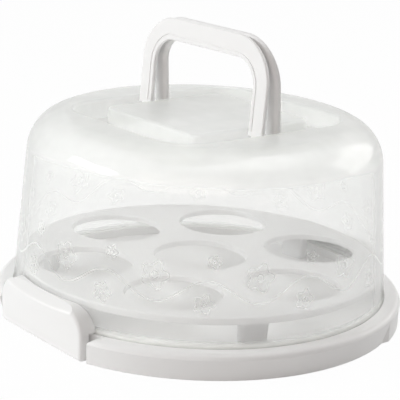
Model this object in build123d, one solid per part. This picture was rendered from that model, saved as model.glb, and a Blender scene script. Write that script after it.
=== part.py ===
from build123d import *
import os
from math import asin, cos, degrees, pi, radians, sin, sqrt, tan

# Round cake carrier: a base with two hinged side latches, a lift-off domed lid whose two folding
# handle loops lie down into a recess in the crown, and a lift-out tray with seven cupcake holes.
# Millimetres, +Z up. The origin is the centre of the underside, on the table. The latches face
# -Y and +Y, and the handle bar runs along X.

# ---- base -------------------------------------------------------------------------------------
wall = 2.2                    # moulded wall of the base
rim_radius = 153.8            # outer edge of the rim
skirt_flare = 3.3             # how far the skirt stands in from the rim's edge at the table
rim_height = 19.2             # top of the rim
rim_drop = 3.8                # the rim's rounded shoulder, from its top to its edge
rim_fall = 75.0               # degrees by which that shoulder has turned down at the edge
deck_height = 13.6            # cake deck
groove_floor = 16.4           # seat of the lid in its groove
foot_ring_radius = 40.0       # middle support ring under the deck
under_rib_count = 12
under_rib = 1.8
under_rib_lift = 0.6          # ribs stop this far above the table
lip_width = 2.8               # upstand inside the lid that centres it
lip_rise = 0.6                # how far the upstand stands above the rim
notch_step = 3.2              # wall behind a latch, in from the edge of the deck above it
notch_lean = 11.0             # degrees by which the ends of a notch open upward
notch_break = 2.4             # broken corner where those ends meet the rim's top
pad_start = 22.0              # raised grip pads beside the rear latch, degrees from +X
pad_end = 60.0
pad_ramp = 4.5                # degrees over which a pad rises out of the skirt
pad_inset = 0.3               # face of a pad, in from the rim's edge
overcut = 5.0                 # how far cutting tools run past what they cut

# ---- lid --------------------------------------------------------------------------------------
rim_width = 12.2              # from the lid's foot to the rim's edge
lid_wall = 1.8
lid_taper = 8.2               # how far the wall comes in from its foot to the shoulder
crown_height = 151.2          # middle of the crown
crown_fall = 0.6              # how far the flat crown drops toward its edge
shoulder_drop = 34.6          # from the crown's edge down to the line where the wall starts
shoulder_reach = 34.4         # from that line in to the crown's edge
shoulder_fullness = 2.24      # exponent of the shoulder's curve, 2 is a plain ellipse
shoulder_steps = 6
lid_clearance = 0.4           # lid wall to groove wall, each side
catch_height = 26.8           # top of the ledges that the latches hook over
catch_depth = 2.4             # how far a ledge stands out
catch_thick = 2.4
catch_half_angle = 15.0

# ---- handle recess in the crown ---------------------------------------------------------------
recess_margin_x = 25.8        # crown's edge to the ends of the recess
recess_margin_y = 15.6        # crown's edge to its sides
recess_corner = 32.0
recess_depth = 14.8
plateau_corner = 7.0
recess_draft = 4.0            # degrees
recess_gap = 1.4              # folded loop to the recess wall
plateau_gap = 2.2             # folded loop to the plateau inside it
crown_round = 2.2

# ---- handle loops -----------------------------------------------------------------------------
loop_thick = 4.6
leg_width = 14.8
bar_width = 16.4
loop_corner = 35.0            # outer corner radius
loop_edge = 0.6               # broken edge round the outer face
loop_gap = 0.6                # between the two bars where they rest on each other
pivot_lift = 5.2              # pivots above the floor of the recess
pivot_offset = 7.4            # each pivot from the middle plane
pivot_pin = 4.0               # diameter of the moulded pivot stubs
pivot_clearance = 0.06        # radial
foot_round = 3.0              # radius of the rounded foot about the pivot
foot_width = 7.0
neck_length = 5.2             # narrow foot, from the pivot up
lug_gap = 0.3                 # side clearance of a foot between its lugs
lug_thick = 2.6
lug_over_pivot = 3.6
lug_half = 4.6
lug_round = 3.0
lug_step = 0.5                # end play of the stubs in the lugs
line_inset = 4.4              # fine groove along the inside of each loop's face
line_width = 1.2
line_depth = 0.6
line_start = 3.0              # its ends, up from the neck

# ---- latches ----------------------------------------------------------------------------------
latch_wall = 2.2
latch_half_width = 51.0
latch_setback = 8.4           # flat bottom edge, in from the rim's edge
bow_setback = 3.0             # bowed top, in from the rim's edge
latch_bottom = 0.5
latch_top = 37.4              # top edge, against the lid
latch_brow = 31.5             # top of the outer face, where the sloping top begins
latch_slope = 34.0            # degrees by which that top rises toward the lid
latch_corner = 20.0
latch_edge_round = 3.0        # softened edge round the outer face
latch_foot_round = 3.6        # rounded bottom edge, so that it swings clear of the table
latch_lid_gap = 1.2           # inner edge of the latch to the lid
latch_cheek = 7.0             # depth of the end walls below the rim
latch_rim_gap = 1.2           # end walls above the rim
latch_side_gap = 1.5          # latch to the ends of its notch
hook_thick = 2.4
hook_over = 0.6               # hook above the ledge
hook_half_angle = 13.0
hinge_inset = 4.6             # hinge axis, in from the latch's flat bottom edge
hinge_height = 6.8
hinge_pin = 4.0
hinge_clearance = 0.06        # radial
hinge_spacing = 56.0          # between the two hinges of a latch
hinge_arm_gap = 21.0          # between the two arms of one hinge
hinge_arm_thick = 2.4
hinge_arm_round = 3.4
ear_width = 9.0
ear_round = 4.2
ear_gap = 0.4                 # latch wall to an ear, over the whole swing
ear_mouth = 0.35              # open side of an ear, out from the hinge axis
latch_swing = 80.0            # how far a latch opens, degrees

# ---- cupcake tray -----------------------------------------------------------------------------
tray_wall = 2.0
tray_gap = 3.0                # tray to the inside of the lid's foot
tray_height = 39.8            # top face
tray_lip = 5.0                # depth of the turned-down edge
tray_edge_round = 1.4
tray_margin = 11.6            # outer holes to the tray's edge
cup_web = 19.3                # between neighbouring holes
cup_turn = 9.1                # first hole of the ring, degrees from +X
cup_collar = 2.2              # how far the collar round each hole hangs below the plate
cup_chamfer = 0.6
leg_count = 3
leg_top = 22.5                # width of a leg under the plate
leg_bottom = 20.0
leg_depth = 9.0
leg_flare = 1.0               # how much deeper a leg is at its top
leg_corner = 2.4
leg_inset = 18.3              # middle of a leg, in from the tray's edge

# ---- worked out -------------------------------------------------------------------------------
skirt_top = rim_height - rim_drop
rim_round = rim_drop / (1 - cos(radians(rim_fall)))
rim_flat = rim_radius - rim_round * sin(radians(rim_fall))
foot_radius = rim_radius - skirt_flare
lid_radius = rim_radius - rim_width
lid_taper_radius = lid_radius - lid_taper
crown_edge_height = crown_height - crown_fall
shoulder_height = crown_edge_height - shoulder_drop
crown_edge_radius = lid_taper_radius - shoulder_reach
groove_outer = lid_radius + lid_clearance
groove_inner = lid_radius - lid_wall - lid_clearance
lip_inner = groove_inner - lip_width
channel_wall = groove_outer + wall
notch_wall = lip_inner + lip_width / 2
notch_back = notch_wall - notch_step
notch_half = latch_half_width + latch_side_gap
recess_half_x = crown_edge_radius - recess_margin_x
recess_half_y = crown_edge_radius - recess_margin_y
recess_floor = crown_height - recess_depth
loop_half_width = recess_half_x - recess_gap
loop_reach = recess_half_y - recess_gap - pivot_offset
leg_middle = loop_half_width - leg_width / 2
plateau_half_x = loop_half_width - leg_width - plateau_gap
plateau_half_y = loop_reach - bar_width - plateau_gap
pivot_height = recess_floor + pivot_lift
loop_lean = degrees(asin((pivot_offset - (loop_thick + loop_gap) / 2) / loop_reach))
latch_chord = rim_radius - latch_setback
latch_bow_radius = rim_radius - bow_setback
hinge_depth = latch_chord - hinge_inset
tray_radius = lid_radius - lid_wall - tray_gap
cup_radius = (tray_radius - tray_margin - cup_web) / 3
cup_pitch = 2 * cup_radius + cup_web
leg_radius = tray_radius - leg_inset
lid_slope = lid_taper / (shoulder_height - groove_floor)


def lid_radius_at(height):
    """Outside radius of the tapered part of the lid."""
    return lid_radius - lid_slope * (height - groove_floor)


def turned(points):
    """A solid of revolution about Z from (radius, height) corners."""
    line = Polyline(*[(r, 0, z) for r, z in points], close=True)
    return revolve(make_face(line), axis=Axis.Z)


def ring(outer, inner, low, high):
    """A plain ring between two radii and two heights."""
    body = Pos(0, 0, low) * Cylinder(outer, high - low, align=(Align.CENTER, Align.CENTER, Align.MIN))
    hole = Pos(0, 0, low - overcut) * Cylinder(inner, high - low + 2 * overcut,
                                               align=(Align.CENTER, Align.CENTER, Align.MIN))
    return body - hole


def sector(start, end, low, high):
    """A wedge from the axis out past the rim, between two angles in degrees."""
    middle = (start + end) / 2
    far = (rim_radius + overcut) / cos(radians((end - start) / 2))
    corners = [(0, 0)] + [(far * cos(radians(a)), far * sin(radians(a))) for a in (start, middle, end)]
    return Pos(0, 0, low) * extrude(make_face(Polyline(*corners, close=True)), high - low)


def slab(x0, x1, y0, y1, z0, z1):
    """A box between two corners."""
    return Pos((x0 + x1) / 2, (y0 + y1) / 2, (z0 + z1) / 2) * Box(x1 - x0, y1 - y0, z1 - z0)


def rod(radius, length, x, y, z):
    """A round bar along X with its middle at the point."""
    return Pos(x, y, z) * Rot(0, 90, 0) * Cylinder(radius, length)


# ---- base -------------------------------------------------------------------------------------
def base_shell():
    """Flared skirt, rounded rim, groove for the lid, centring lip and deck, all one wall thick."""
    with BuildPart() as shell:
        with BuildSketch(Plane.XZ):
            with BuildLine():
                Polyline(
                    (0, deck_height - wall),
                    (groove_inner, deck_height - wall),
                    (groove_inner, groove_floor - wall),
                    (channel_wall, groove_floor - wall),
                    (channel_wall, rim_height - wall),
                    (rim_flat, rim_height - wall),
                    (rim_radius - wall, skirt_top),
                    (foot_radius - wall, 0),
                    (foot_radius, 0),
                    (rim_radius, skirt_top),
                )
                RadiusArc((rim_radius, skirt_top), (rim_flat, rim_height), -rim_round)
                Polyline(
                    (rim_flat, rim_height),
                    (groove_outer, rim_height),
                    (groove_outer, groove_floor),
                    (groove_inner, groove_floor),
                    (groove_inner, rim_height + lip_rise),
                    (lip_inner, rim_height + lip_rise),
                    (lip_inner, deck_height),
                    (0, deck_height),
                    (0, deck_height - wall),
                )
            make_face()
        revolve(axis=Axis.Z)
    return shell.part


def under_ribs():
    """Support ring and radial ribs under the deck."""
    top = deck_height - wall / 2
    ribs = ring(foot_ring_radius, foot_ring_radius - under_rib, under_rib_lift, top)
    for n in range(under_rib_count):
        blade = slab(foot_ring_radius - under_rib / 2, notch_wall - wall / 2, -under_rib / 2, under_rib / 2,
                     under_rib_lift, top)
        ribs += Rot(0, 0, 360 / under_rib_count * (n + 0.5)) * blade
    return ribs


def grip_pad(start, end):
    """A stretch of skirt that stays full width down to the table, with a ramp at each end."""
    face = rim_radius - pad_inset
    pad = turned([(foot_radius - wall, 0), (face, 0), (face, skirt_top), (rim_radius - wall, skirt_top)])
    far = 2 * rim_radius
    plan = [(foot_radius - wall, start), (face, start + pad_ramp), (far, start + pad_ramp),
            (far, end - pad_ramp), (face, end - pad_ramp), (foot_radius - wall, end)]
    corners = [(0, 0)] + [(r * cos(radians(a)), r * sin(radians(a))) for r, a in plan]
    return pad & extrude(make_face(Polyline(*corners, close=True)), rim_height)


def notch_opening(grow, high):
    """Outline of a notch seen from the front, wider at the top, pushed back to the hinge."""
    spread = tan(radians(notch_lean))
    corner = rim_height - notch_break
    levels = sorted({-overcut, min(corner, high), high})
    right = [(notch_half + grow + spread * z + max(0, z - corner), z) for z in levels]
    left = [(-x, z) for x, z in reversed(right)]
    face = make_face(Polyline(*right, *left, close=True))
    return Pos(0, -hinge_depth / 2, 0) * extrude(Plane.XZ * face, rim_radius)


def notch():
    """Room for the front latch, cut out of the skirt and the rim."""
    top = rim_height + lip_rise + overcut
    cut = notch_opening(0, top) - ring(channel_wall, lip_width, groove_floor - wall, top + overcut)
    cut -= Cylinder(notch_wall, 4 * top)
    return cut + (notch_opening(0, deck_height - wall) - Cylinder(notch_back, 4 * top))


def notch_lining():
    """Walls that close the skirt round the notch: one at each end and a round one behind."""
    back = ring(notch_back, notch_back - wall, under_rib_lift, deck_height - wall / 2)
    back &= notch_opening(wall, rim_height)
    ends = turned([(notch_back - wall, 0), (foot_radius - wall / 2, 0), (rim_radius - wall / 2, skirt_top),
                   (rim_flat, rim_height - wall / 2), (notch_back - wall, rim_height - wall / 2)])
    ends &= notch_opening(wall, rim_height) - notch_opening(0, rim_height)
    return back + (ends - ring(channel_wall, lip_width, groove_floor - wall / 2, rim_height))


def hinge_ears():
    """Two snap-in ears on the back wall of the notch."""
    ears = Part()
    for x in (-hinge_spacing / 2, hinge_spacing / 2):
        ear = rod(ear_round, ear_width, x, -hinge_depth, hinge_height)
        root_y = -(sqrt(notch_back ** 2 - (abs(x) + ear_width / 2) ** 2) - wall / 2)
        ear += slab(x - ear_width / 2, x + ear_width / 2, -hinge_depth, root_y, hinge_height - ear_round,
                    hinge_height + ear_round)
        ear -= rod(hinge_pin / 2 + hinge_clearance, ear_width + overcut, x, -hinge_depth, hinge_height)
        swept = hinge_inset - latch_wall - ear_gap
        for angle, reach in ((0, swept), (latch_swing / 2, ear_mouth), (latch_swing, swept)):
            side = slab(-ear_width, ear_width, -reach - 4 * ear_round, -reach, -4 * ear_round, 4 * ear_round)
            ear -= Pos(x, -hinge_depth, hinge_height) * Rot(angle, 0, 0) * side
        ears += ear
    return ears


def make_base():
    base = base_shell() + under_ribs()
    for start, end in ((pad_start, pad_end), (180 - pad_end, 180 - pad_start)):
        base += grip_pad(start, end)
    fitting = notch_lining() + hinge_ears()
    for turn in (0, 180):
        base -= Rot(0, 0, turn) * notch()
        base += Rot(0, 0, turn) * fitting
    return base


# ---- latch ------------------------------------------------------------------------------------
def rounded_top(half, height, radius):
    """A rectangle with its two top corners rounded, about its centre."""
    face = Rectangle(2 * half, height)
    return fillet(face.vertices().group_by(Axis.Y)[-1], radius)


def latch_block(inset, low, high):
    """Solid between a flat chord at the bottom and a bowed arc at the top, in from the outside."""
    chord = latch_chord - inset
    bow = latch_bow_radius - inset
    half = latch_half_width - inset
    back = latch_chord / 2
    with BuildPart() as block:
        with BuildSketch(Plane.XY.offset(latch_bottom)):
            Polygon((-half, -chord), (half, -chord), (half, -back), (-half, -back), align=None)
        with BuildSketch(Plane.XY.offset(latch_top)):
            with BuildLine():
                ThreePointArc((-half, -chord), (0, -bow), (half, -chord))
                Polyline((half, -chord), (half, -back), (-half, -back), (-half, -chord))
            make_face()
        loft(ruled=True)
    outline = rounded_top(half, high - low, latch_corner - inset)
    above = slab(-rim_radius, rim_radius, -rim_radius, rim_radius, -inset, rim_radius)
    above = Pos(0, -latch_bow_radius, latch_brow) * Rot(latch_slope, 0, 0) * above
    return (block.part & extrude(Plane.XZ * Pos(0, (low + high) / 2) * outline, rim_radius)) - above


def latch_outside():
    """The latch's outer form, its face softened all round and rounded under at the table."""
    block = latch_block(0, latch_bottom, latch_top)
    face = block.faces().sort_by(Axis.Y)[0]
    foot = face.edges().sort_by(Axis.Z)[0]
    block = fillet(foot, latch_foot_round)
    face = block.faces().filter_by(lambda f: f.normal_at().Y < -0.9).sort_by(SortBy.AREA)[-1]
    sides = face.edges().filter_by(lambda e: e.center().Z > latch_foot_round + 1)
    return fillet(sides, latch_edge_round)


def make_latch():
    """Front latch: outer face, end walls and top in one shell, with a hook rib and hinge arms."""
    outside = latch_outside()
    inside = latch_block(latch_wall, latch_bottom - overcut, latch_top - latch_wall)
    inside += Pos(0, 0, -latch_wall) * inside
    shell = outside - inside
    lid_side = turned([(0, -overcut), (lid_radius_at(-overcut) + latch_lid_gap, -overcut),
                       (lid_radius_at(2 * latch_top) + latch_lid_gap, 2 * latch_top), (0, 2 * latch_top)])
    below_rim = slab(-latch_half_width, latch_half_width, latch_cheek - latch_chord, 0, -overcut,
                     rim_height + latch_rim_gap)
    shell = shell - lid_side - below_rim
    within = latch_block(latch_wall / 2, latch_bottom, latch_top)
    hook_low = catch_height + hook_over
    hook = ring(latch_bow_radius, lid_radius_at(hook_low) + latch_lid_gap, hook_low, hook_low + hook_thick)
    hook &= sector(270 - hook_half_angle, 270 + hook_half_angle, 0, latch_top)
    latch = shell + (hook & within)
    for x in (-hinge_spacing / 2, hinge_spacing / 2):
        for side in (-1, 1):
            middle = x + side * (hinge_arm_gap + hinge_arm_thick) / 2
            arm = rod(hinge_arm_round, hinge_arm_thick, middle, -hinge_depth, hinge_height)
            arm += slab(middle - hinge_arm_thick / 2, middle + hinge_arm_thick / 2, -latch_chord,
                        -hinge_depth, hinge_height - hinge_arm_round, hinge_height + hinge_arm_round)
            latch += arm & within
        latch += rod(hinge_pin / 2, hinge_arm_gap + hinge_arm_thick, x, -hinge_depth, hinge_height)
    return latch


# ---- lid --------------------------------------------------------------------------------------
def dome(inset, bottom):
    """The domed lid as a solid, moved in from its outside by the wall."""
    foot = (lid_radius_at(bottom) - inset, 0, bottom)
    shoulder = (lid_taper_radius - inset, 0, shoulder_height)
    crown_edge = (crown_edge_radius, 0, crown_edge_height - inset)
    top = (0, 0, crown_height - inset)
    up = (-lid_slope, 0, 1)
    flat = (-1, 0, (crown_height - crown_edge_height) / crown_edge_radius)
    side = Line(foot, shoulder)
    through = []
    for n in range(1, shoulder_steps):
        turn = pi / 2 * n / shoulder_steps
        out = cos(turn) ** (2 / shoulder_fullness) * (lid_taper_radius - crown_edge_radius)
        rise = sin(turn) ** (2 / shoulder_fullness) * (crown_edge_height - shoulder_height)
        through.append((crown_edge_radius + out - inset * cos(turn), 0,
                        shoulder_height + rise - inset * sin(turn)))
    bend = Spline(shoulder, *through, crown_edge, tangents=[up, flat])
    crown = Line(crown_edge, top)
    floor = Polyline(top, (0, 0, bottom), foot)
    return revolve(make_face([side, bend, crown, floor]), axis=Axis.Z)


def recess_channel(grow):
    """The channel in the crown, between the recess wall and the plateau, grown by a wall."""
    top = crown_height + overcut
    depth = top - recess_floor + grow
    spread = tan(radians(recess_draft)) * depth
    outer = RectangleRounded(2 * (recess_half_x + grow + spread), 2 * (recess_half_y + grow + spread),
                             recess_corner + grow)
    inner = RectangleRounded(2 * (plateau_half_x - grow - spread), 2 * (plateau_half_y - grow - spread),
                             plateau_corner - grow / 2)
    pocket = extrude(Pos(0, 0, top) * outer, -depth, taper=recess_draft)
    island = extrude(Pos(0, 0, top) * inner, -depth, taper=-recess_draft)
    return pocket - island


def pivot_lugs():
    """Eight lugs on the channel floor with holes for the stubs of the loops."""
    lugs = Part()
    top = pivot_height + lug_over_pivot
    for end in (-1, 1):
        for side in (-1, 1):
            y = side * pivot_offset
            for face in (-1, 1):
                x = end * leg_middle + face * (foot_width / 2 + lug_gap + lug_thick / 2)
                lug = slab(x - lug_thick / 2, x + lug_thick / 2, y - lug_half, y + lug_half,
                           recess_floor - lid_wall / 2, top)
                lugs += fillet(lug.edges().filter_by(Axis.X).group_by(Axis.Z)[-1], lug_round)
    return lugs


def pivot_holes():
    """Bores through the lugs for the stubs of the loops."""
    holes = Part()
    length = foot_width + 2 * (lug_gap + lug_thick) + 2
    for end in (-1, 1):
        for side in (-1, 1):
            holes += rod(pivot_pin / 2 + pivot_clearance, length, end * leg_middle, side * pivot_offset,
                         pivot_height)
    return holes


def catch_ledges():
    """Two ledges at the foot of the lid that the latches hook over."""
    low = catch_height - catch_thick
    ledge = ring(lid_radius_at(low) + catch_depth, lid_radius_at(low) - lid_wall, low, catch_height)
    arc = sector(270 - catch_half_angle, 270 + catch_half_angle, 0, 2 * catch_height)
    return (ledge & arc) + (ledge & (Rot(0, 0, 180) * arc))


def make_lid():
    outside = dome(0, groove_floor) - recess_channel(0)
    inside = dome(lid_wall, groove_floor - overcut) - recess_channel(lid_wall)
    rim_edges = outside.edges().filter_by(lambda e: e.center().Z > crown_edge_height - crown_fall)
    outside = fillet(rim_edges, crown_round)
    lid = outside - inside
    lid += catch_ledges() - inside
    lid += pivot_lugs()
    lid -= pivot_holes()
    return lid


# ---- handle loop ------------------------------------------------------------------------------
def loop_outline(border):
    """Face of the loop in the XZ plane with the pivot at z=0, drawn in from the inside edge."""
    outer = Pos(0, loop_reach / 2) * rounded_top(loop_half_width, loop_reach, loop_corner)
    inner_half = loop_half_width - leg_width + border
    inner_height = loop_reach - bar_width + border
    inner = Pos(0, inner_height / 2) * rounded_top(inner_half, inner_height, loop_corner - leg_width + border)
    return outer - inner


def make_loop():
    """Front loop, upright with its pivot on the X axis; its flat face looks to -Y, its back is round."""
    body = extrude(Plane.XZ * loop_outline(0), loop_thick / 2, both=True)
    faces = body.faces().sort_by(Axis.Y)
    body = fillet([e for e in faces[-1].edges() if e.center().Z > loop_edge], loop_thick - 2 * loop_edge)
    face = body.faces().sort_by(Axis.Y)[0]
    body = chamfer([e for e in face.edges() if e.center().Z > loop_edge], loop_edge)
    line = loop_outline(line_inset - line_width) - loop_outline(line_inset)
    groove = extrude(Plane.XZ.offset(loop_thick / 2 - line_depth) * line, loop_thick)
    body -= groove & slab(-loop_half_width, loop_half_width, -loop_thick, loop_thick,
                          neck_length + line_start, loop_reach)
    stub = foot_width + 2 * (lug_gap + lug_thick - lug_step)
    for end in (-1, 1):
        x = end * leg_middle
        for side in (-1, 1):
            edge = x + side * foot_width / 2
            far = x + side * leg_width
            body -= slab(min(edge, far), max(edge, far), -loop_thick, loop_thick, -overcut, neck_length)
        body += rod(foot_round, foot_width, x, 0, 0)
        body += rod(pivot_pin / 2, stub, x, 0, 0)
    return body


def place_loop(loop, side):
    """Stands a loop on its pivot, leaning on its twin: side -1 is the front one, 1 the rear."""
    turn = 0 if side < 0 else 180
    return Pos(0, side * pivot_offset, pivot_height) * Rot(0, 0, turn) * Rot(-loop_lean, 0, 0) * loop


# ---- cupcake tray -----------------------------------------------------------------------------
def cup_places():
    """Middle of each hole: one on the axis and a ring of six."""
    ring_of_six = [(cup_pitch * cos(radians(cup_turn + 60 * n)), cup_pitch * sin(radians(cup_turn + 60 * n)))
                   for n in range(6)]
    return [(0, 0)] + ring_of_six


def tray_leg(inset, low, high):
    """A tapered leg on the +X side between two heights, in from its outside."""
    def section(height):
        up = (height - deck_height) / (tray_height - deck_height)
        depth = leg_depth + up * leg_flare - 2 * inset
        width = leg_bottom + up * (leg_top - leg_bottom) - 2 * inset
        return Pos(leg_radius, 0, height) * RectangleRounded(depth, width, leg_corner - inset)
    return loft([section(low), section(high)])


def make_tray():
    """Plate with a turned-down edge, seven collared holes and three legs that are hollow from below."""
    grounded = (Align.CENTER, Align.CENTER, Align.MIN)
    plate = Pos(0, 0, tray_height - tray_lip) * Cylinder(tray_radius, tray_lip, align=grounded)
    plate = fillet(plate.edges().group_by(Axis.Z)[-1], tray_edge_round)
    underside = tray_height - tray_wall
    under = Pos(0, 0, underside - 2 * tray_lip) * Cylinder(tray_radius - tray_wall, 2 * tray_lip,
                                                           align=grounded)
    tray = plate - under
    for x, y in cup_places():
        tray += Pos(x, y, 0) * ring(cup_radius + tray_wall, cup_radius, underside - cup_collar, underside)
    for x, y in cup_places():
        mouth = Pos(x, y, underside) * Cylinder(cup_radius, 2 * tray_wall, align=grounded)
        mouth += Pos(x, y, tray_height - cup_chamfer) * Cone(cup_radius, cup_radius + 2 * cup_chamfer,
                                                             2 * cup_chamfer, align=grounded)
        tray -= mouth
    for n in range(leg_count):
        turn = Rot(0, 0, cup_turn - 30 + 360 / leg_count * n)
        tray += turn * tray_leg(0, deck_height, underside + tray_wall / 2)
        tray -= turn * tray_leg(tray_wall, deck_height - overcut, underside - tray_wall)
    return tray


def save(shape, name):
    """Write one named piece."""
    shape.label = name
    export_step(shape, os.path.join("parts", name + ".step"))


os.makedirs("parts", exist_ok=True)
front_latch = make_latch()
loop = make_loop()
save(make_base(), "base")
save(front_latch, "front_latch")
save(Rot(0, 0, 180) * front_latch, "rear_latch")
save(make_lid(), "lid")
save(place_loop(loop, -1), "front_handle_loop")
save(place_loop(loop, 1), "rear_handle_loop")
save(make_tray(), "cupcake_tray")
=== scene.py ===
import math

import bpy
from mathutils import Matrix, Vector

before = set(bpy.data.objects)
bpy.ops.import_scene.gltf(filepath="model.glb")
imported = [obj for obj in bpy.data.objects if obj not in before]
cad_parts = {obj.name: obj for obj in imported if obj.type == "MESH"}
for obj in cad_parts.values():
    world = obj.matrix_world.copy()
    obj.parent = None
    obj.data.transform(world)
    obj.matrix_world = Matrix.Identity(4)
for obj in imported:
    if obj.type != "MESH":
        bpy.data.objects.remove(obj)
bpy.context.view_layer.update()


# ---- studio -----------------------------------------------------------------------------------
# A pale table top in a room that looks white but gives no light of its own. A thin soft box
# stands on the left, a large one hangs overhead, a warm one stands on the right and a smaller
# one behind. The camera stands to the right of the front latch and looks down on the lid.
camera_out = 1.04336           # from the axis of the carrier, along the table
camera_height = 0.38201
camera_side = -40.0            # where it stands, degrees from +X
camera_turn = 50.115           # heading, degrees from +Y
camera_tilt = 15.991           # down, degrees
camera_roll = 2.745
camera_lens = 129.1            # mm, on a sensor of this width
sensor_width = 36.0
soft_boxes = (                 # name, place, aimed at, size, watts, colour
    ("front_soft_box", (-0.95, -1.78, 1.0), (0, 0, 0.08), (1.3, 0.4), 31, (0.975, 1.0, 1.0)),
    ("top_soft_box", (0.1, 0.3, 2.4), (0, 0, 0), (2.2, 2.2), 24, (1.0, 1.0, 1.0)),
    ("side_soft_box", (1.3, -1.6, 1.0), (0, 0, 0.1), (2.4, 1.8), 11.5, (1.0, 0.9, 0.84)),
    ("rear_soft_box", (0.2, 1.85, 0.85), (0, 0, 0.1), (1.5, 1.0), 15, (1.0, 0.99, 0.97)),
)
table_width = 12.0
table_colour = (0.72, 0.72, 0.72, 1.0)
table_roughness = 0.8
table_gloss = 0.2
table_light = 0.16             # light that the table gives off
table_white = 0.97             # share of plain white in the table, where it is looked at
white = (1.0, 1.0, 1.0, 1.0)


class Socket:
    """A value on a surface: arithmetic on it adds Math nodes to the material."""

    def __init__(self, tree, socket):
        self.tree = tree
        self.socket = socket

    def node(self, kind, settings, feeds, output=0):
        """Adds a node of a kind, sets it up, feeds its sockets, and gives one of its outputs."""
        made = self.tree.nodes.new("ShaderNode" + kind)
        for name, value in settings.items():
            setattr(made, name, value)
        for name, value in feeds.items():
            if isinstance(value, Socket):
                self.tree.links.new(value.socket, made.inputs[name])
            else:
                made.inputs[name].default_value = value
        return Socket(self.tree, made.outputs[output])

    def maths(self, operation, first, second=0.0):
        return self.node("Math", {"operation": operation}, {0: first, 1: second})

    def __add__(self, other):
        return self.maths("ADD", self, other)

    def __radd__(self, other):
        return self.maths("ADD", other, self)

    def __sub__(self, other):
        return self.maths("SUBTRACT", self, other)

    def __rsub__(self, other):
        return self.maths("SUBTRACT", other, self)

    def __mul__(self, other):
        return self.maths("MULTIPLY", self, other)

    def __rmul__(self, other):
        return self.maths("MULTIPLY", other, self)

    def __pow__(self, other):
        return self.maths("POWER", self, other)

    def larger(self, other):
        return self.maths("MAXIMUM", self, other)

    def between(self, low, high):
        """0 below low, 1 above high, and a smooth rise from one to the other."""
        settings = {"interpolation_type": "SMOOTHSTEP"}
        return self.node("MapRange", settings, {"Value": self, "From Min": low, "From Max": high})


def mixed(share, first, second):
    """A share of the second shader laid into the first."""
    return first.node("MixShader", {}, {0: share, 1: first, 2: second})


def seen_as_white(shader, share):
    """Lays plain white into a shader for the camera, for mirrors and for clear plastic."""
    camera_ray, mirror_ray, clear_ray = (
        shader.node("LightPath", {}, {}, ray)
        for ray in ("Is Camera Ray", "Is Glossy Ray", "Is Transmission Ray"))
    glow = shader.node("Emission", {}, {"Color": white, "Strength": 1.0})
    return mixed(camera_ray.larger(mirror_ray).larger(clear_ray) * share, shader, glow)


def soft_box(name, place, target, size, watts, colour):
    """An oblong area lamp that shines from a place to a target."""
    data = bpy.data.lights.new(name, "AREA")
    data.shape = "RECTANGLE"
    data.size, data.size_y = size
    data.energy = watts
    data.color = colour
    box = bpy.data.objects.new(name, data)
    bpy.context.scene.collection.objects.link(box)
    box.location = place
    box.rotation_euler = (Vector(target) - Vector(place)).to_track_quat("-Z", "Y").to_euler()


scene = bpy.context.scene
scene.view_settings.view_transform = "Standard"

world = bpy.data.worlds.new("room")
world.use_nodes = True
scene.world = world
room = world.node_tree
room.nodes["Background"].inputs["Strength"].default_value = 0.0
unlit = Socket(room, room.nodes["Background"].outputs[0])
room.links.new(seen_as_white(unlit, 1.0).socket, room.nodes["World Output"].inputs["Surface"])

bpy.ops.mesh.primitive_plane_add(size=table_width)
table = bpy.context.object
table.name = "table_top"
pale = bpy.data.materials.new("pale_table")
pale.use_nodes = True
pale_nodes = pale.node_tree.nodes
pale_shader = pale_nodes["Principled BSDF"]
pale_shader.inputs["Base Color"].default_value = table_colour
pale_shader.inputs["Roughness"].default_value = table_roughness
pale_shader.inputs["Specular IOR Level"].default_value = table_gloss
pale_shader.inputs["Emission Color"].default_value = white
pale_shader.inputs["Emission Strength"].default_value = table_light
top = seen_as_white(Socket(pale.node_tree, pale_shader.outputs[0]), table_white)
pale.node_tree.links.new(top.socket, pale_nodes["Material Output"].inputs["Surface"])
table.data.materials.append(pale)

for facts in soft_boxes:
    soft_box(*facts)

camera = bpy.data.objects.new("camera", bpy.data.cameras.new("camera"))
scene.collection.objects.link(camera)
camera.data.lens = camera_lens
camera.data.sensor_width = sensor_width
side = math.radians(camera_side)
stand = Vector((camera_out * math.cos(side), camera_out * math.sin(side), camera_height))
heading = Matrix.Rotation(math.radians(camera_turn), 4, "Z")
tilt = Matrix.Rotation(math.radians(90 - camera_tilt), 4, "X")
roll = Matrix.Rotation(math.radians(camera_roll), 4, "Z")
camera.matrix_world = Matrix.Translation(stand) @ heading @ tilt @ roll
scene.camera = camera


# ---- base -------------------------------------------------------------------------------------
# The base is injection moulded in white polypropylene. It has a satin skin with a very fine
# grain, faint clouds in its colour and gloss, and slow waves where the plastic shrank.
base_colour = (0.885, 0.88, 0.878)
base_roughness = 0.42
base_grain = 0.35              # strength of the mould's grain
grain_scale = 900.0            # specks to a metre
grain_depth = 0.00006          # in metres, as every length here
wave_scale = 26.0              # waves to a metre
wave_strength = 0.25
wave_depth = 0.0006
cloud_scale = 14.0             # clouds to a metre
cloud_shade = 0.965            # colour of the darkest clouds, as a share of the palest
cloud_gloss = 0.1              # how much rougher the palest clouds are than the darkest
plastic_ior = 1.49


def new_material(name):
    """An empty material, with its object coordinates and its output socket."""
    material = bpy.data.materials.new(name)
    material.use_nodes = True
    tree = material.node_tree
    tree.nodes.clear()
    place = Socket(tree, tree.nodes.new("ShaderNodeTexCoord").outputs["Object"])
    return material, place, tree.nodes.new("ShaderNodeOutputMaterial").inputs["Surface"]


def noise(place, scale, detail):
    """Cloudy noise from 0 to 1, with so many clouds to a metre."""
    return place.node("TexNoise", {}, {"Vector": place, "Scale": scale, "Detail": detail})


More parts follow.
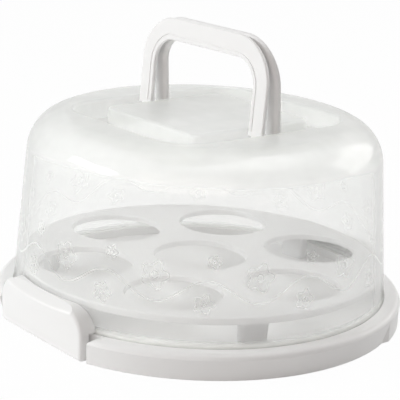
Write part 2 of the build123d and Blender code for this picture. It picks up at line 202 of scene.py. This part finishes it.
def moulded_white(name, colour, roughness, grain, leak=0.0):
    """White moulded plastic, which may leak a share of the light that falls on it."""
    material, place, end = new_material(name)
    clouds = noise(place, cloud_scale, detail=2.0)
    specks = noise(place, grain_scale, detail=1.0)
    waves = noise(place, wave_scale, detail=0.0)
    darker = tuple(cloud_shade * c for c in colour)
    # Sockets 6 and 7 of a Mix node are the two colours, and output 2 is the mixed one.
    tint = place.node("Mix", {"data_type": "RGBA"},
                      {"Factor": clouds, 6: (*darker, 1.0), 7: (*colour, 1.0)}, 2)
    wavy = place.node("Bump", {},
                      {"Strength": wave_strength, "Distance": wave_depth, "Height": waves})
    skin = place.node("Bump", {}, {"Strength": grain, "Distance": grain_depth,
                                   "Height": specks, "Normal": wavy})
    gloss = roughness - 0.5 * cloud_gloss + cloud_gloss * clouds
    shader = place.node("BsdfPrincipled", {}, {"Base Color": tint, "Roughness": gloss,
                                               "IOR": plastic_ior, "Normal": skin})
    if leak:
        leaking = place.node("BsdfTranslucent", {}, {"Color": (*colour, 1.0), "Normal": skin})
        shader = mixed(leak, shader, leaking)
    material.node_tree.links.new(shader.socket, end)
    return material


def dress(node, material):
    """Gives a moulded piece its material."""
    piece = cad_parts[node]
    piece.data.materials.clear()
    piece.data.materials.append(material)
    return piece


base_white = moulded_white("base_white", base_colour, base_roughness, base_grain)
dress("base", base_white)


# ---- latches ----------------------------------------------------------------------------------
# Two D-shaped latches, moulded in the same white with a slightly smoother face. Each turns on
# two snap-in hinges of the base and hooks over a ledge of the lid.
latch_colour = (0.895, 0.89, 0.888)
latch_roughness = 0.36
latch_grain = 0.25

latch_white = moulded_white("latch_white", latch_colour, latch_roughness, latch_grain)
for node in ("front_latch", "rear_latch"):
    dress(node, latch_white)


# ---- cupcake tray -----------------------------------------------------------------------------
# The lift-out tray is a thinner moulding of white plastic on three legs. Some of the light that
# falls on it leaks through to the deck below.
tray_colour = (0.93, 0.927, 0.93)
tray_roughness = 0.45
tray_grain = 0.3
tray_leak = 0.4

tray_white = moulded_white("tray_white", tray_colour, tray_roughness, tray_grain, tray_leak)
dress("cupcake_tray", tray_white)


# ---- handle loops -----------------------------------------------------------------------------
# Two flat loops, moulded in white plastic with a satin face. They turn on stubs of their own in
# the lugs of the lid's recess, and stand up leaning on each other.
loop_colour = (0.87, 0.863, 0.862)
loop_roughness = 0.4
loop_grain = 0.3

loop_white = moulded_white("loop_white", loop_colour, loop_roughness, loop_grain)
for node in ("front_handle_loop", "rear_handle_loop"):
    dress(node, loop_white)


# ---- lid --------------------------------------------------------------------------------------
# The lid is moulded in clear polypropylene. Its wall is nearly clear with a little haze and a
# faint etched garland, and its shoulder, its crown and the edge in the groove are milky.
seat_haze = 0.6                # haze of one face of the edge that stands in the groove
seat_end = 0.021               # heights between which the edge turns into the clear wall
wall_start = 0.0245
wall_haze = 0.17               # haze of one face of the wall
crown_haze = 0.42              # and of the shoulder and crown
crown_start = 0.123            # heights between which the wall turns milky
crown_full = 0.136
haze_clouds = 0.3              # how much the haze varies, as a share of it
haze_scale = 30.0              # its clouds to a metre
edge_haze = 0.35               # extra haze where the plastic is seen edge on
edge_haze_power = 4.0
wall_body = 0.1                # share of the wall's haze that lies deep in the plastic
crown_body = 0.24              # how much more of it in the crown
edge_body = 0.8                # and where the plastic is seen edge on
edge_body_power = 6.0
body_through = 0.62            # share of its light that the deep haze lets through
body_colour = (0.75, 0.755, 0.75, 1.0)
veil_through = 0.5             # the same for the haze on the faces
veil_colour = (0.96, 0.965, 0.95, 1.0)
veil_roughness = 0.8
veil_ior = 1.15                # near 1, so that it bends little
gloss_face_on = 0.04           # share of light that a clear face mirrors, seen face on
gloss_edge_on = 0.45           # and how much more of it, seen edge on
gloss_power = 5.0
gloss_roughness = 0.07
lid_wave_scale = 45.0          # slow waves in the clear faces
lid_wave_strength = 0.15
lid_wave_depth = 0.0008
etching = 0.12                 # extra haze in the etched garland
etched_line = 0.0007           # half the width of an etched line
etched_repeats = 12            # garland repeats round the wall
etched_span = 0.072            # length of one repeat
stem_height = 0.058
stem_wave = 0.008              # how far the stem waves up and down
petals = 5.0
petal_depth = 0.2              # how far the petals reach in and out, as a share of the size
ring_size = 0.3                # ring in a blossom's middle, as a share of its size
blossoms = (                   # along the repeat, height, size
    (-0.018, 0.068, 0.0085),
    (0.016, 0.05, 0.006),
    (0.022, 0.079, 0.004),
)
wall_foot = 0.143              # radius that the outside of the wall would have at the table
wall_lean = 0.0823             # how much it narrows for each metre of height
skin_start = -0.0011           # the etched outer skin, from that outside
skin_end = -0.0007


def etched(distance):
    """A soft-edged line where a distance from it is near zero."""
    return 1 - distance.maths("ABSOLUTE", distance).between(0.5 * etched_line, etched_line)


def blossom(across, up, middle, height, size):
    """Outline of a petalled blossom with a ring in its middle, on the unrolled wall."""
    aside = across - middle
    above = up - height
    far = (aside * aside + above * above) ** 0.5
    wavy = far.maths("COSINE", petals * far.maths("ARCTAN2", above, aside))
    outline = etched(far - size * (1 + petal_depth * wavy))
    return outline.larger(etched(far - ring_size * size))


def garland(place, height):
    """A wavy stem with blossoms, etched all round the outside of the wall."""
    x = place.node("SeparateXYZ", {}, {"Vector": place}, "X")
    y = place.node("SeparateXYZ", {}, {"Vector": place}, "Y")
    turn = x.maths("ARCTAN2", y, x) * (etched_repeats / math.tau)
    across = (turn.maths("FRACT", turn) - 0.5) * etched_span
    wave = across.maths("SINE", across * (math.tau / etched_span))
    marks = etched(height - stem_height - stem_wave * wave)
    for middle, level, size in blossoms:
        marks = marks.larger(blossom(across, height, middle, level, size))
    outside = (x * x + y * y) ** 0.5 - wall_foot + wall_lean * height
    return marks * outside.between(skin_start, skin_end)


def clear_plastic(name):
    """Clear plastic: it shows what is behind it, mirrors the lamps, and has a height of haze."""
    material, place, end = new_material(name)
    height = place.node("SeparateXYZ", {}, {"Vector": place}, "Z")
    edge_on = place.node("LayerWeight", {}, {"Blend": 0.5}, "Facing")

    crown = height.between(crown_start, crown_full)
    haze = seat_haze + (wall_haze - seat_haze) * height.between(seat_end, wall_start)
    haze = haze + (crown_haze - wall_haze) * crown
    haze = haze * (1 - 0.5 * haze_clouds + haze_clouds * noise(place, haze_scale, detail=2.0))
    haze = haze + edge_haze * edge_on ** edge_haze_power + etching * garland(place, height)

    waves = noise(place, lid_wave_scale, detail=1.0)
    skin = place.node("Bump", {}, {"Strength": lid_wave_strength, "Distance": lid_wave_depth,
                                   "Height": waves})
    clear = place.node("BsdfTransparent", {}, {"Color": white})
    mirror = place.node("BsdfAnisotropic", {},
                        {"Color": white, "Roughness": gloss_roughness, "Normal": skin})
    pane = mixed(gloss_face_on + gloss_edge_on * edge_on ** gloss_power, clear, mirror)

    sheen = place.node("BsdfAnisotropic", {}, {"Color": veil_colour, "Roughness": veil_roughness})
    glow = place.node("BsdfRefraction", {}, {"Color": veil_colour, "Roughness": veil_roughness,
                                             "IOR": veil_ior})
    thrown_back = place.node("BsdfDiffuse", {}, {"Color": body_colour})
    let_through = place.node("BsdfTranslucent", {}, {"Color": body_colour})
    depth = wall_body + crown_body * crown + edge_body * edge_on ** edge_body_power
    veil = mixed(veil_through, sheen, glow)
    body = mixed(body_through, thrown_back, let_through)

    lid_skin = mixed(haze, pane, mixed(depth, veil, body))
    material.node_tree.links.new(lid_skin.socket, end)
    return material


dress("lid", clear_plastic("lid_clear"))
